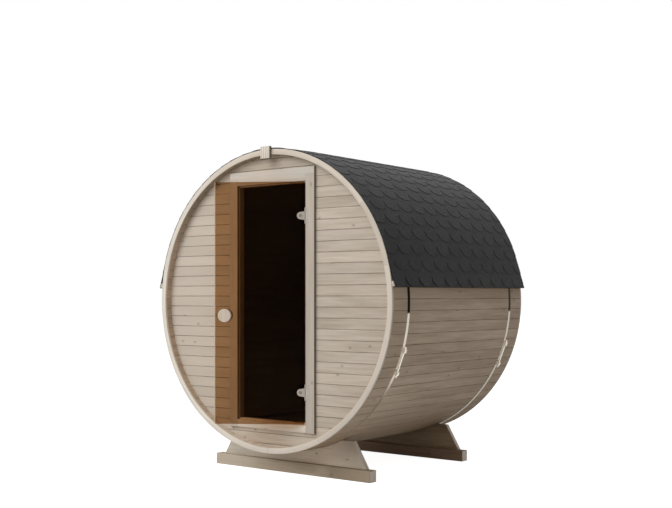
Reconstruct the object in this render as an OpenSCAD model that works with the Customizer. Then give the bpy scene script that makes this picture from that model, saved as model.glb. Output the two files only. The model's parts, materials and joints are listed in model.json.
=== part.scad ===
// Barrel sauna cabin: staves drawn together by hoops, on two cradles, with a hinged glass door.
// Millimetres, +Z up, the door end faces -Y. Heights inside the barrel count from its axis.

/* [Barrel] */
// Length of the barrel over both end rings
barrel_len = 1672; // [1400:1:2400]
// Radius of the barrel's inside, to the flat of each stave
inner_r = 985; // [900:1:1100]
// Thickness of a stave
stave_t = 39; // [28:1:50]
// Number of staves round the barrel
stave_n = 87; // [60:1:110]
// Bevel along the outer edges of a stave
stave_bevel = 3; // [1:0.5:6]
// Joint between two staves
stave_joint = 0.4; // [0.2:0.1:1]
// Gap between the staves and the ground
ground_gap = 159; // [120:1:260]

/* [End rings] */
// Thickness of the ring that covers the stave ends
ring_t = 18; // [12:1:30]
// Width of the block over the ring's upper joint
key_w = 80; // [50:1:110]
// Depth of that block in front of the ring
key_t = 22; // [12:1:36]
// How far the block hangs below the ring
key_drop = 25; // [10:1:40]
// How far the block stands above the roof
key_rise = 6; // [2:1:20]
// Radius of the flutes in the block
flute_r = 3; // [1.5:0.5:5]
// Number of flutes
flute_n = 4; // [1:1:6]

/* [End walls] */
// Set-back of an end wall behind the ring's face
wall_inset = 58; // [45:1:120]
// Thickness of an end wall
wall_t = 37; // [26:1:50]

/* [Doorway] */
// Clear width of the doorway
door_w = 610; // [520:1:700]
// Depth of the doorway's top below the crown of the barrel's inside
door_head = 189; // [170:1:300]
// Height of the doorway's bottom above the lowest line of the barrel's inside
door_step = 169; // [155:1:240]
// Width of the door posts
post_w = 72; // [50:1:80]
// Height of the header over the doorway
header_h = 92; // [70:1:100]
// Height of the header's shoulder above the doorway
shoulder_h = 39; // [20:1:60]
// Height of the sill under the doorway
sill_h = 52; // [35:1:60]
// Thickness of the casing in front of the wall
casing_t = 21; // [18:1:36]
// Depth of the rebate that the leaf closes into
rebate_t = 16; // [14:1:20]
// Width of the stop and of the lining in the wall
stop_w = 10; // [6:1:14]

/* [Door] */
// Angle at which the leaf stands open
door_ajar = 32.5; // [0:0.5:90]
// Thickness of the glass
glass_t = 8; // [6:1:10]
// Gap between the glass and the doorway
glass_gap = 5; // [5:0.5:8]
// Depth of the closed glass behind the casing's face
glass_inset = 2; // [1:0.5:4]
// Distance of the knob from the hinge axis
knob_reach = 534; // [450:1:550]
// Height of the knob above the bottom of the doorway
knob_h = 723; // [600:1:900]
// Radius of the knob
knob_r = 44; // [30:1:50]
// Thickness of the knob's head
knob_t = 22; // [14:1:30]
// Rounding of the knob's face
knob_round = 5; // [1:0.5:8]
// Radius of the knob's neck
neck_r = 14; // [8:1:20]
// Length of the knob's neck
neck_len = 14; // [8:1:30]

/* [Hinges] */
// Depth of the upper hinge below the top of the doorway
upper_hinge_drop = 231; // [120:1:400]
// Height of the lower hinge above the bottom of the doorway
lower_hinge_rise = 216; // [120:1:400]
// Distance of the hinge axis outside the doorway
hinge_out = 1; // [0.5:0.5:2]
// Radius of the hinge knuckles
knuckle_r = 4; // [3:0.5:6]
// Radius of the hinge pin
pin_r = 1.8; // [1:0.1:2.2]
// Running clearance of the hinge
hinge_gap = 0.4; // [0.2:0.1:1]
// Height of the plate on the post
plate_h = 104; // [80:1:140]
// Width of the plate on the post
plate_w = 18; // [14:1:30]
// Thickness of the plate on the post
plate_t = 2.5; // [1.5:0.5:3]
// Height of the knuckle on the leaf
knuckle_h = 38; // [24:1:50]
// How far the arm stays inside each end of that knuckle
arm_inset = 3; // [1:0.5:6]
// Radius of the round clamp on the glass
clamp_r = 24; // [18:1:30]
// Thickness of the clamp
clamp_t = 5; // [3:0.5:7]
// Distance of the clamp's centre from the hinge axis
clamp_reach = 31; // [28:1:40]
// Radius of the washer between clamp and glass
washer_r = 17; // [10:1:20]

/* [Roof] */
// Thickness of the roof covering
roof_t = 9; // [6:1:16]
// Height of the eaves above the barrel's axis
eave_h = 96; // [40:1:160]
// Angle above level at which the covering runs off straight
kick_a = 16.5; // [12:0.5:25]
// Height of the batten under the eave
batten_h = 32; // [20:1:50]
// Set-back of the roof from the ring's face
roof_inset = 2; // [0:1:20]

/* [Hoops] */
// Distance of each hoop from the barrel's end
hoop_from_end = 182; // [120:1:200]
// Width of a hoop
hoop_w = 24; // [16:1:36]
// Thickness of a hoop
hoop_t = 2; // [1:0.5:3]
// Slit that lets a hoop draw tight, beside its lower lug
hoop_slit = 8; // [4:1:16]
// Direction of the upper lug, clockwise from the top
lug_a = 107.4; // [95:0.1:110]
// Angle between the two lugs
lug_span = 8.6; // [6:0.1:14]
// Width of a lug along the barrel
lug_w = 22; // [16:1:30]
// Length of a lug round the barrel
lug_len = 24; // [16:1:30]
// Height of a lug off the hoop
lug_h = 22; // [16:1:30]
// Height of the tension rod off the hoop
rod_h = 12; // [8:0.5:16]
// Radius of the tension rod
rod_r = 6; // [3:0.5:7]
// Length of the rod past each lug
rod_end = 16; // [12:1:30]
// Width of the nuts across their corners
nut_w = 19; // [14:1:22]
// Thickness of the nuts
nut_t = 8; // [5:1:10]

/* [Cradles] */
// Length of a cradle beam
beam_len = 1380; // [1200:1:1800]
// Depth of a cradle beam
beam_d = 72; // [50:1:120]
// Height of a cradle beam
beam_h = 78; // [60:1:90]
// Distance of the front beam from the front ring's face
front_beam_y = 227; // [200:1:320]
// Distance of the rear beam from the rear ring's face
rear_beam_y = 215; // [205:1:320]
// Thickness of the saddle board
saddle_t = 36; // [24:1:50]
// Width of the saddle at its foot
saddle_foot = 1270; // [1150:1:1380]
// Width of the saddle at its shoulders
saddle_top = 1058; // [950:1:1140]
// Height of the saddle's shoulders above the ground
saddle_h = 256; // [220:1:300]

/* [Floor] */
// Height of the floor's top above the lowest line of the barrel's inside
floor_rise = 147; // [125:1:160]
// Thickness of the floor boards
board_t = 26; // [20:1:32]
// Distance of the outer floor boards from the staves
floor_margin = 35; // [20:1:80]
// Gap between floor boards
board_gap = 6; // [4:1:12]
// Number of floor boards
board_n = 9; // [5:1:9]
// Thickness of a floor bearer
bearer_t = 45; // [30:1:60]
// Number of floor bearers
bearer_n = 3; // [2:1:5]
// Play between the floor and the end walls
floor_play = 2; // [1:1:10]

/* [Hidden] */
$fn = 180;
small_fn = 48;
HOURS = [for (hour = [1 : 12]) str("staves_", hour, "_oclock")];

// Barrel: each stave is a bevelled board, and hoops and saddles bear on its outer edges
stave_a = 360 / stave_n;
outer_r = inner_r + stave_t;
stave_half_in = inner_r * tan(stave_a / 2) - stave_joint / 2;
stave_half_out = outer_r * tan(stave_a / 2) - stave_joint / 2;
seat_r = norm([outer_r, stave_half_out - stave_bevel]);
axis_z = outer_r + ground_gap;
ring_r = outer_r;
far = 2 * outer_r;
ring_joint = stave_joint;
frame_joint = stave_joint;
cut_over = 1;

// Roof: laid over the hoops, straight below the kick
roof_in = seat_r + hoop_t;
roof_out = roof_in + roof_t;
key_top = roof_out + key_rise;
key_bottom = inner_r - key_drop;

// Doorway and leaf
door_top = inner_r - door_head;
door_bottom = inner_r - door_step;
half_door = door_w / 2;
half_wall_cut = half_door + stop_w;
cut_top = door_top + stop_w;
cut_bottom = -door_bottom - stop_w;
casing_y = wall_inset - casing_t;
wall_back = wall_inset + wall_t;
header_top = door_top + header_h;
shoulder_z = door_top + shoulder_h;
frame_bottom = -door_bottom - sill_h;
stop_y = casing_y + rebate_t;
glass_y = casing_y + glass_inset;
glass_back = glass_y + glass_t;
glass_left = -half_door + glass_gap;
glass_right = half_door - glass_gap - hinge_out;
hinge_x = half_door + hinge_out;
hinge_y = casing_y - knuckle_r - hinge_gap;
clamp_x = hinge_x - clamp_reach;
clamp_y = hinge_y - clamp_t / 2;
arm_h = knuckle_h - 2 * arm_inset;
upper_hinge_z = door_top - upper_hinge_drop;
lower_hinge_z = lower_hinge_rise - door_bottom;
knob_x = hinge_x - knob_reach;
knob_z = knob_h - door_bottom;
knob_face = glass_y - neck_len - knob_t;

// The box round the whole cabin, with the leaf ajar, is centred on the origin
function swung_y(x, y) = hinge_y + (x - hinge_x) * sin(door_ajar) + (y - hinge_y) * cos(door_ajar);
knob_rim = [knob_x - knob_r + knob_round, knob_face + knob_round];
front_y = swung_y(knob_rim[0], knob_rim[1]) - knob_round;
rear_y = barrel_len + key_t;
mid_y = (front_y + rear_y) / 2;

rear_beam_front = barrel_len - rear_beam_y - beam_d;
floor_len = barrel_len - 2 * (wall_back + floor_play);
floor_under = floor_rise - inner_r - board_t;
floor_half = sqrt(inner_r * inner_r - floor_under * floor_under) - floor_margin;
board_pitch = (2 * floor_half + board_gap) / board_n;
board_w = board_pitch - board_gap;

WOOD = "BurlyWood";
PALE = "Wheat";
FELT = "DimGray";
STEEL = "Silver";

// Puts a piece in the shared frame: origin on the ground under the middle of the box
module placed() { translate([0, -mid_y, axis_z]) children(); }

// Swings a piece of the leaf from the closed door to where it stands ajar
module ajar() {
  translate([hinge_x, hinge_y, 0])
    rotate([0, 0, door_ajar])
      translate([-hinge_x, -hinge_y, 0])
        children();
}

// Draws a front outline out along the barrel from y0 to y1
module along_y(y0, y1) {
  translate([0, y1, 0])
    rotate([90, 0, 0])
      linear_extrude(y1 - y0)
        children();
}

// A round bar along Y
module bar_y(x, z, y0, y1, r) {
  along_y(y0, y1)
    translate([x, z])
      circle(r, $fn = small_fn);
}

// A block between two corners
module block(low, high) {
  translate(low) cube(high - low);
}

// Wedge outline between two directions, clockwise from the top, under a half turn apart
module wedge(from_a, to_a) {
  mid_a = (from_a + to_a) / 2;
  reach = far / cos((to_a - from_a) / 2);
  polygon([[0, 0], far * [sin(from_a), cos(from_a)], reach * [sin(mid_a), cos(mid_a)],
           far * [sin(to_a), cos(to_a)]]);
}

// Copies a piece of the front end to the rear end
module at_rear() {
  translate([0, barrel_len, 0]) mirror([0, 1, 0]) children();
}

// Cradles
module beam(front) {
  block([-beam_len / 2, front, -axis_z], [beam_len / 2, front + beam_d, beam_h - axis_z]);
}

module saddle(back) {
  foot_z = beam_h - axis_z;
  top_z = saddle_h - axis_z;
  along_y(back - saddle_t, back)
    difference() {
      polygon([[-saddle_foot / 2, foot_z], [saddle_foot / 2, foot_z],
               [saddle_top / 2, top_z], [-saddle_top / 2, top_z]]);
      circle(seat_r);
    }
}

module front_cradle_beam() { color(WOOD) placed() beam(front_beam_y); }
module front_cradle_saddle() { color(WOOD) placed() saddle(front_beam_y + beam_d); }
module rear_cradle_beam() { color(WOOD) placed() beam(rear_beam_front); }
module rear_cradle_saddle() { color(WOOD) placed() saddle(rear_beam_front + beam_d); }

// Staves, in twelve groups named by the hours of a clock
module stave(turn) {
  rotate([0, turn, 0])
    along_y(ring_t, barrel_len - ring_t)
      polygon([[-stave_half_in, inner_r], [stave_half_in, inner_r],
               [stave_half_out, outer_r - stave_bevel], [stave_half_out - stave_bevel, outer_r],
               [stave_bevel - stave_half_out, outer_r], [-stave_half_out, outer_r - stave_bevel]]);
}

module staves(hour) {
  first = ceil((hour - 0.5) * stave_n / 12);
  last = ceil((hour + 0.5) * stave_n / 12) - 1;
  color(WOOD)
    placed()
      for (i = [first : last])
        stave(i * stave_a);
}

// End walls, split round the doorway
module wall_outline() { circle(inner_r); }

module front_wall_side(side) {
  color(PALE)
    placed()
      along_y(wall_inset, wall_back)
        intersection() {
          wall_outline();
          translate([side > 0 ? half_wall_cut : -far, -far / 2])
            square([far - half_wall_cut, far]);
        }
}

module front_wall_band(low, high) {
  color(PALE)
    placed()
      along_y(wall_inset, wall_back)
        intersection() {
          wall_outline();
          translate([-half_wall_cut, low]) square([2 * half_wall_cut, high - low]);
        }
}

module front_wall_left() { front_wall_side(-1); }
module front_wall_right() { front_wall_side(1); }
module front_wall_over_door() { front_wall_band(cut_top, far); }
module front_wall_under_door() { front_wall_band(-far, cut_bottom); }

module rear_wall() {
  color(PALE)
    placed()
      at_rear()
        along_y(wall_inset, wall_back)
          wall_outline();
}

// Door frame: casing on the wall, with a rebate and a lining through the wall
module post_casing(joint) {
  block([half_door - joint, casing_y, frame_bottom], [half_door + post_w, wall_inset + joint, shoulder_z]);
}

// A post is a casing board on a jamb, which is the lining and the stop
module door_post(side) {
  color(PALE)
    placed()
      mirror([side > 0 ? 0 : 1, 0, 0]) {
        post_casing(0);
        difference() {
          union() {
            block([half_door, wall_inset, cut_bottom], [half_wall_cut, wall_back, cut_top]);
            block([half_door - stop_w, stop_y, -door_bottom], [half_door, wall_back, door_top]);
          }
          post_casing(frame_joint);
        }
      }
}

module door_post_left() { door_post(-1); }
module door_post_right() { door_post(1); }

module door_header() {
  inside = half_door - stop_w;
  outside = half_door + post_w;
  color(PALE)
    placed() {
      block([-half_door, casing_y, door_top], [half_door, wall_inset, shoulder_z]);
      block([-outside, casing_y, shoulder_z], [outside, wall_inset, header_top]);
      block([-half_door, wall_inset, door_top], [half_door, wall_back, cut_top]);
      block([-inside, stop_y, door_top - stop_w], [inside, wall_back, door_top]);
    }
}

module door_sill() {
  inside = half_door - stop_w;
  color(PALE)
    placed() {
      block([-half_door, casing_y, frame_bottom], [half_door, wall_inset, -door_bottom]);
      block([-half_door, wall_inset, cut_bottom], [half_door, wall_back, -door_bottom]);
      block([-inside, stop_y, -door_bottom], [inside, wall_back, -door_bottom + stop_w]);
    }
}

// Rings over the stave ends, in two halves under a fluted block
module half_ring(side) {
  along_y(0, ring_t)
    intersection() {
      difference() {
        circle(ring_r);
        circle(inner_r);
      }
      translate([side > 0 ? ring_joint / 2 : -far, -far / 2])
        square([far - ring_joint / 2, far]);
    }
}

module keystone() {
  pitch = key_w / flute_n;
  difference() {
    block([-key_w / 2, -key_t, key_bottom], [key_w / 2, 0, key_top]);
    for (i = [0 : flute_n - 1])
      translate([(i + 0.5) * pitch - key_w / 2, -key_t, key_bottom - cut_over])
        cylinder(h = key_top - key_bottom + 2 * cut_over, r = flute_r, $fn = small_fn);
  }
}

module front_ring_left() { color(PALE) placed() half_ring(-1); }
module front_ring_right() { color(PALE) placed() half_ring(1); }
module front_keystone() { color(PALE) placed() keystone(); }
module rear_ring_left() { color(PALE) placed() at_rear() half_ring(-1); }
module rear_ring_right() { color(PALE) placed() at_rear() half_ring(1); }
module rear_keystone() { color(PALE) placed() at_rear() keystone(); }

// Roof covering: an arc to the kick, then straight down to the eave over a batten
function kick_x(r, z) = r * cos(kick_a) + (r * sin(kick_a) - z) * tan(kick_a);

// Half of everything under a covering of radius r, down to the eave
module under_roof(r) {
  intersection() {
    circle(r);
    translate([0, eave_h]) square([far, far]);
  }
  polygon([[0, eave_h], [kick_x(r, eave_h), eave_h], r * [cos(kick_a), sin(kick_a)], [0, r * sin(kick_a)]]);
}

module roof_outline() {
  difference() {
    under_roof(roof_out);
    under_roof(roof_in);
  }
}

module roof_side(side) {
  color(FELT)
    placed()
      mirror([side > 0 ? 0 : 1, 0, 0])
        along_y(roof_inset, barrel_len - roof_inset)
          roof_outline();
}

module eave_batten(side) {
  back = roof_in * cos(kick_a);
  top = eave_h + batten_h;
  color(PALE)
    placed()
      mirror([side > 0 ? 0 : 1, 0, 0])
        along_y(roof_inset, barrel_len - roof_inset)
          difference() {
            polygon([[back, eave_h], [kick_x(roof_in, eave_h), eave_h],
                     [kick_x(roof_in, top), top], [back, top]]);
            circle(roof_in);
          }
}

module roof_left() { roof_side(-1); }
module roof_right() { roof_side(1); }
module eave_batten_left() { eave_batten(-1); }
module eave_batten_right() { eave_batten(1); }

// Hoops, slit beside the lower lug, and the rod that draws the lugs together
module hoop(y) {
  slit_end = lug_a + lug_span - atan(lug_len / 2 / roof_in);
  along_y(y - hoop_w / 2, y + hoop_w / 2)
    difference() {
      circle(roof_in);
      circle(seat_r);
      wedge(slit_end - atan(hoop_slit / roof_in), slit_end);
    }
}

module tensioner(y) {
  mid_a = lug_a + lug_span / 2;
  chord_r = (roof_in + rod_h) * cos(lug_span / 2);
  half_rod = (roof_in + rod_h) * sin(lug_span / 2) + lug_len / 2 + rod_end;
  half_nut = half_rod - rod_end;
  for (turn = [lug_a, lug_a + lug_span])
    rotate([0, turn, 0])
      block([-lug_len / 2, y - lug_w / 2, roof_in], [lug_len / 2, y + lug_w / 2, roof_in + lug_h]);
  rotate([0, mid_a, 0])
    translate([-half_rod, y, chord_r])
      rotate([0, 90, 0])
        cylinder(h = 2 * half_rod, r = rod_r, $fn = small_fn);
  for (side = [-1, 1])
    rotate([0, mid_a, 0])
      translate([side * (half_nut + nut_t / 2) - nut_t / 2, y, chord_r])
        rotate([0, 90, 0])
          cylinder(h = nut_t, d = nut_w, $fn = 6);
}

module front_hoop() { color(STEEL) placed() hoop(hoop_from_end); }
module rear_hoop() { color(STEEL) placed() hoop(barrel_len - hoop_from_end); }
module front_hoop_tensioner() { color(STEEL) placed() tensioner(hoop_from_end); }
module rear_hoop_tensioner() { color(STEEL) placed() tensioner(barrel_len - hoop_from_end); }

// Floor: boards on bearers cut to the round of the barrel
module floor_boards() {
  color(WOOD)
    placed()
      for (i = [0 : board_n - 1])
        translate([i * board_pitch - floor_half, wall_back + floor_play, floor_under])
          cube([board_w, floor_len, board_t]);
}

module floor_bearers() {
  step = (barrel_len - 2 * wall_back) / bearer_n;
  color(WOOD)
    placed()
      for (i = [0 : bearer_n - 1])
        along_y(wall_back + (i + 0.5) * step - bearer_t / 2, wall_back + (i + 0.5) * step + bearer_t / 2)
          intersection() {
            circle(inner_r);
            translate([-far / 2, floor_under - far]) square([far, far]);
          }
}

// Hinges: a plate with two knuckles and the pin on the post, a clamp and knuckle on the glass
module hinge_bracket(z) {
  half = plate_h / 2;
  clear_z = knuckle_h / 2 + hinge_gap;
  color(STEEL)
    placed()
      translate([hinge_x, 0, z]) {
        difference() {
          block([0, casing_y - plate_t, -half], [plate_w, casing_y, half]);
          block([-cut_over, casing_y - plate_t - cut_over, -clear_z],
                [knuckle_r + 2 * hinge_gap, casing_y + cut_over, clear_z]);
        }
        for (low = [-half, clear_z])
          translate([0, hinge_y, low])
            cylinder(h = half - clear_z, r = knuckle_r, $fn = small_fn);
        translate([0, hinge_y, -half])
          cylinder(h = plate_h, r = pin_r, $fn = small_fn);
      }
}

module hinge_leaf(z) {
  color(STEEL)
    placed()
      ajar()
        translate([0, 0, z]) {
          difference() {
            union() {
              translate([hinge_x, hinge_y, -knuckle_h / 2])
                cylinder(h = knuckle_h, r = knuckle_r, $fn = small_fn);
              block([clamp_x, clamp_y, -arm_h / 2], [hinge_x, clamp_y + clamp_t, arm_h / 2]);
              bar_y(clamp_x, 0, clamp_y, clamp_y + clamp_t, clamp_r);
              bar_y(clamp_x, 0, clamp_y, glass_y, washer_r);
            }
            translate([hinge_x, hinge_y, -knuckle_h])
              cylinder(h = 2 * knuckle_h, r = pin_r + hinge_gap, $fn = small_fn);
          }
          bar_y(clamp_x, 0, glass_back, glass_back + clamp_t, clamp_r);
        }
}

module upper_hinge_bracket() { hinge_bracket(upper_hinge_z); }
module lower_hinge_bracket() { hinge_bracket(lower_hinge_z); }
module upper_hinge_leaf() { hinge_leaf(upper_hinge_z); }
module lower_hinge_leaf() { hinge_leaf(lower_hinge_z); }

// Leaf: one pane of glass with a round knob on each face
module door_glass() {
  color("SaddleBrown", 0.6)
    placed()
      ajar()
        block([glass_left, glass_y, -door_bottom + glass_gap],
              [glass_right, glass_back, door_top - glass_gap]);
}

// Half section of a knob from the glass outwards
module knob_section() {
  square([neck_r, neck_len + knob_t]);
  translate([0, neck_len]) {
    square([knob_r - knob_round, knob_t]);
    square([knob_r, knob_t - knob_round]);
    translate([knob_r - knob_round, knob_t - knob_round])
      circle(knob_round, $fn = small_fn);
  }
}

module door_knobs() {
  color(PALE)
    placed()
      ajar()
        translate([knob_x, 0, knob_z]) {
          translate([0, glass_y, 0])
            rotate([90, 0, 0])
              rotate_extrude()
                knob_section();
          translate([0, glass_back, 0])
            rotate([-90, 0, 0])
              rotate_extrude()
                knob_section();
        }
}

front_cradle_beam();
front_cradle_saddle();
rear_cradle_beam();
rear_cradle_saddle();
front_wall_left();
front_wall_right();
front_wall_over_door();
front_wall_under_door();
rear_wall();
door_header();
door_post_left();
door_post_right();
door_sill();
front_ring_left();
front_ring_right();
front_keystone();
rear_ring_left();
rear_ring_right();
rear_keystone();
eave_batten_left();
eave_batten_right();
roof_left();
roof_right();
front_hoop();
rear_hoop();
front_hoop_tensioner();
rear_hoop_tensioner();
floor_boards();
floor_bearers();
upper_hinge_bracket();
lower_hinge_bracket();
door_glass();
upper_hinge_leaf();
lower_hinge_leaf();
door_knobs();
for (hour = [1 : 12])
  staves(hour);
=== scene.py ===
"""Looks of the barrel sauna: timber, shingles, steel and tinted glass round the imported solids."""
import json
import math

import bmesh
import bpy
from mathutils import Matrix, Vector


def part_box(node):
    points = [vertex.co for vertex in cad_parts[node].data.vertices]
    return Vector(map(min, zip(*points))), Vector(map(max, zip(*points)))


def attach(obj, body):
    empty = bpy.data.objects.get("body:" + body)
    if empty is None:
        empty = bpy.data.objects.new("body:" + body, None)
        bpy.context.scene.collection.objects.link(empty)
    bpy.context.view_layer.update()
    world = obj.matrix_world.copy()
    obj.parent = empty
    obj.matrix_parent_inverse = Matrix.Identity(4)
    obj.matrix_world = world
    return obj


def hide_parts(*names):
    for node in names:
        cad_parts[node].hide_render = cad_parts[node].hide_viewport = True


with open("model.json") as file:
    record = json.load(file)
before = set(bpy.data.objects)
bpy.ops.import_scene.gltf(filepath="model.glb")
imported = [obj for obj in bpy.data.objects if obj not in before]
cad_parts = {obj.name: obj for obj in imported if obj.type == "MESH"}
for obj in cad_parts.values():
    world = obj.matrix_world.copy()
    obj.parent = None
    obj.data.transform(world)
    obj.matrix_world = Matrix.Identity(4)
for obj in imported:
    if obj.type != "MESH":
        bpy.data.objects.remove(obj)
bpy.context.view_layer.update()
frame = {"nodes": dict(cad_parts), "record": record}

# Sizes of the cabin in metres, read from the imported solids
ring_low, ring_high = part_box("front_ring_right")
wall_low, wall_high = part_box("rear_wall")
roof_low, roof_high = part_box("roof_right")
front_wall_low, front_wall_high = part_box("front_wall_left")
AXIS_Z = (ring_low.z + ring_high.z) / 2
OUTER_R = ring_high.x
INNER_R = wall_high.x
WALL_THICKNESS = wall_high.y - wall_low.y
ROOF_R = roof_high.z - AXIS_Z
ROOF_LENGTH = roof_high.y - roof_low.y
EAVE_Z = roof_low.z

# Pitches and counts of what repeats
STAVES = 87
STAVE_TURN = 2 * math.pi / STAVES
RING_PIECES = 14
BOARD_PITCH = 0.0717
FLOOR_PITCH = 0.098

# Shingles: a tab's width, the height of its round end, that end's curve, and what shows of a course
TAB = 0.1525
TAB_ROUND = 0.072
TAB_CURVE = 2.3
EXPOSURE = 0.107

# The door as it stands: its hinge line, the way its glass faces and the way it runs from the hinge
door_joint = frame["record"]["behaviour"]["joints"][0]
HINGE = Vector(door_joint["pos_m"])
AJAR = math.radians(-door_joint["range_deg"][0])
LEAF_OUT = Vector((math.sin(AJAR), -math.cos(AJAR), 0))
LEAF_ALONG = Vector((-math.cos(AJAR), -math.sin(AJAR), 0))
LEAF_REACH = max((corner.co - HINGE).dot(LEAF_ALONG)
                 for corner in frame["nodes"]["door_glass"].data.vertices)


class Wire:
    """A socket in a node tree: sums on it add Math nodes, and add() makes any other node."""

    def __init__(self, tree, socket=None):
        self.tree, self.socket = tree, socket

    def add(self, kind, settings=None, sockets=None, out=0):
        made = self.tree.nodes.new(kind)
        for name, value in (settings or {}).items():
            setattr(made, name, value)
        for name, value in (sockets or {}).items():
            for item in value if isinstance(value, list) else [value]:
                if isinstance(item, Wire):
                    self.tree.links.new(item.socket, made.inputs[name])
                else:
                    made.inputs[name].default_value = item
        return Wire(self.tree, made.outputs[out] if made.outputs else None)

    def output(self, name):
        """Another output of the node that this wire comes from."""
        return Wire(self.tree, self.socket.node.outputs[name])

    def sum(self, operation, *terms):
        return self.add("ShaderNodeMath", {"operation": operation}, dict(enumerate(terms)))

    def __add__(self, other):
        return self.sum("ADD", self, other)

    def __radd__(self, other):
        return self.sum("ADD", other, self)

    def __sub__(self, other):
        return self.sum("SUBTRACT", self, other)

    def __rsub__(self, other):
        return self.sum("SUBTRACT", other, self)

    def __mul__(self, other):
        return self.sum("MULTIPLY", self, other)

    def __rmul__(self, other):
        return self.sum("MULTIPLY", other, self)

    def __truediv__(self, other):
        return self.sum("DIVIDE", self, other)

    def __pow__(self, other):
        return self.sum("POWER", self, other)

    def __neg__(self):
        return self.sum("MULTIPLY", self, -1.0)

    def parts(self):
        """The three values of a vector."""
        split = self.add("ShaderNodeSeparateXYZ", sockets={0: self})
        return [split.output(axis) for axis in "XYZ"]

    def vector(self, x, y, z):
        return self.add("ShaderNodeCombineXYZ", sockets={0: x, 1: y, 2: z})

    def between(self, low, high):
        """0 below low, 1 above high and a smooth rise from one to the other."""
        return self.add("ShaderNodeMapRange", {"interpolation_type": "SMOOTHSTEP"},
                        {"Value": self, "From Min": low, "From Max": high})

    def noise(self, x, y, z, detail=2.0):
        """Soft noise about 0.5, one unit of x, y or z to a swell."""
        return self.add("ShaderNodeTexNoise", {"noise_dimensions": "3D"},
                        {"Vector": self.vector(x, y, z), "Scale": 1.0, "Detail": detail})

    def chance(self, number):
        """A fixed random value from 0 to 1 for each number."""
        return self.add("ShaderNodeTexWhiteNoise", {"noise_dimensions": "1D"}, {"W": number})

    def mixed(self, share, first, second):
        """Two colours mixed by a share."""
        return self.add("ShaderNodeMix", {"data_type": "RGBA"}, {0: share, 6: first, 7: second}, out=2)

    def scaled(self, colour, level):
        return self.add("ShaderNodeVectorMath", {"operation": "SCALE"}, {0: colour, "Scale": level})

    def attribute(self, name):
        """A value stored on the mesh."""
        return self.add("ShaderNodeAttribute", {"attribute_name": name}, out="Fac")

    def tab_rise(self):
        """How far a tab's round end has drawn back, self being the way along in tabs."""
        off = self.sum("ABSOLUTE", self.sum("FLOORED_MODULO", self, 1.0) * 2.0 - 1.0)
        # A little under 1, so that rounding leaves nothing negative under the root
        whole = 0.999
        return (1.0 - (1.0 - off ** TAB_CURVE * whole) ** 0.5) * TAB_ROUND


# Finishes

def finish(name):
    """An empty material and a wire into its tree."""
    material = bpy.data.materials.new(name)
    material.use_nodes = True
    material.node_tree.nodes.clear()
    return material, Wire(material.node_tree)


def coat(wire, constants, colour, roughness, height=None, relief=0.0, **varying):
    """A Principled surface, with a bump where it has a height."""
    sockets = {**constants, "Base Color": colour, "Roughness": roughness, **varying}
    if height is not None:
        sockets["Normal"] = wire.add("ShaderNodeBump", sockets={"Height": height, "Distance": relief})
    return wire.add("ShaderNodeBsdfPrincipled", sockets=sockets)


def shown(wire, shader):
    wire.add("ShaderNodeOutputMaterial", sockets={"Surface": shader})


def place(wire):
    """The point's x, y and z in the cabin's frame."""
    return wire.add("ShaderNodeTexCoord", out="Object").parts()


def about_axis(wire):
    """The point's x and y, its height over the barrel's axis and its distance from that axis."""
    x, y, z = place(wire)
    up = z - AXIS_Z
    return x, y, up, wire.sum("SQRT", x * x + up * up)


def inner_side(radius):
    """1 on the barrel's inner side, radius being the distance from its axis."""
    return 1.0 - radius.between(INNER_R + 0.001, INNER_R + 0.004)


def indoors(wire):
    """1 on the faces inside the cabin, where the timber is painted dark as painted shade."""
    _, y, _, radius = about_axis(wire)
    front = (front_wall_low.y + front_wall_high.y) / 2
    rear = (wall_low.y + wall_high.y) / 2
    behind_front = y.between(front, front + 0.002)
    behind_rear = y.between(rear - 0.002, rear)
    return inner_side(radius) * behind_front * (1.0 - behind_rear)


# Painted light and shade, and tones by place: how far each goes, and the tone it leaves

# Painted shade inside the barrel under the crown: its rise, its share and its tone
CROWN_RISE = (0.1, 0.7)
CROWN_SHADE_SHARE = 0.75
CROWN_SHADE_TONE = (0.26, 0.225, 0.17, 1)


def ring_painted_light_and_shade(wire):
    """The ring painted lighter on its left and lower side as painted light, and given painted shade on
    its inside under the crown.
    """
    x, _, up, radius = about_axis(wire)
    # pale is painted light, and crown is painted shade
    pale = 1.0 - (x * 0.9 + up * 0.3).between(-0.75, 0.25)
    crown = inner_side(radius) * up.between(*CROWN_RISE)
    tone = wire.mixed(crown, (0.78, 0.72, 0.63, 1), CROWN_SHADE_TONE)
    return wire.sum("MAXIMUM", pale * (1.0 - crown), crown * CROWN_SHADE_SHARE), tone


def saddle_painted_light(wire):
    """The front saddle painted lighter towards the right as painted light where the barrel's shadow
    falls, and darker at its right end.
    """
    x = place(wire)[0]
    warm, dull = (0.98, 0.83, 0.66, 1), (0.49, 0.405, 0.315, 1)
    return x.between(-0.6, 0.1) * 0.85, wire.mixed(x.between(0.28, 0.6), warm, dull)


def beam_end_tones(wire):
    """The front beam paler at its left end, and browner at its right."""
    x = place(wire)[0]
    left, right = 1.0 - x.between(-0.4, -0.1), x.between(0.2, 0.4)
    pale, brown = (0.58, 0.50, 0.40, 1), (0.31, 0.245, 0.17, 1)
    return (left + right) * 0.8, wire.mixed(right, pale, brown)


def wall_painted_light(wire):
    """The end walls painted lighter on the left, as painted light."""
    x = place(wire)[0]
    return (1.0 - x.between(-0.8, 0.0)) * 0.5, (0.63, 0.555, 0.47)


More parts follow.
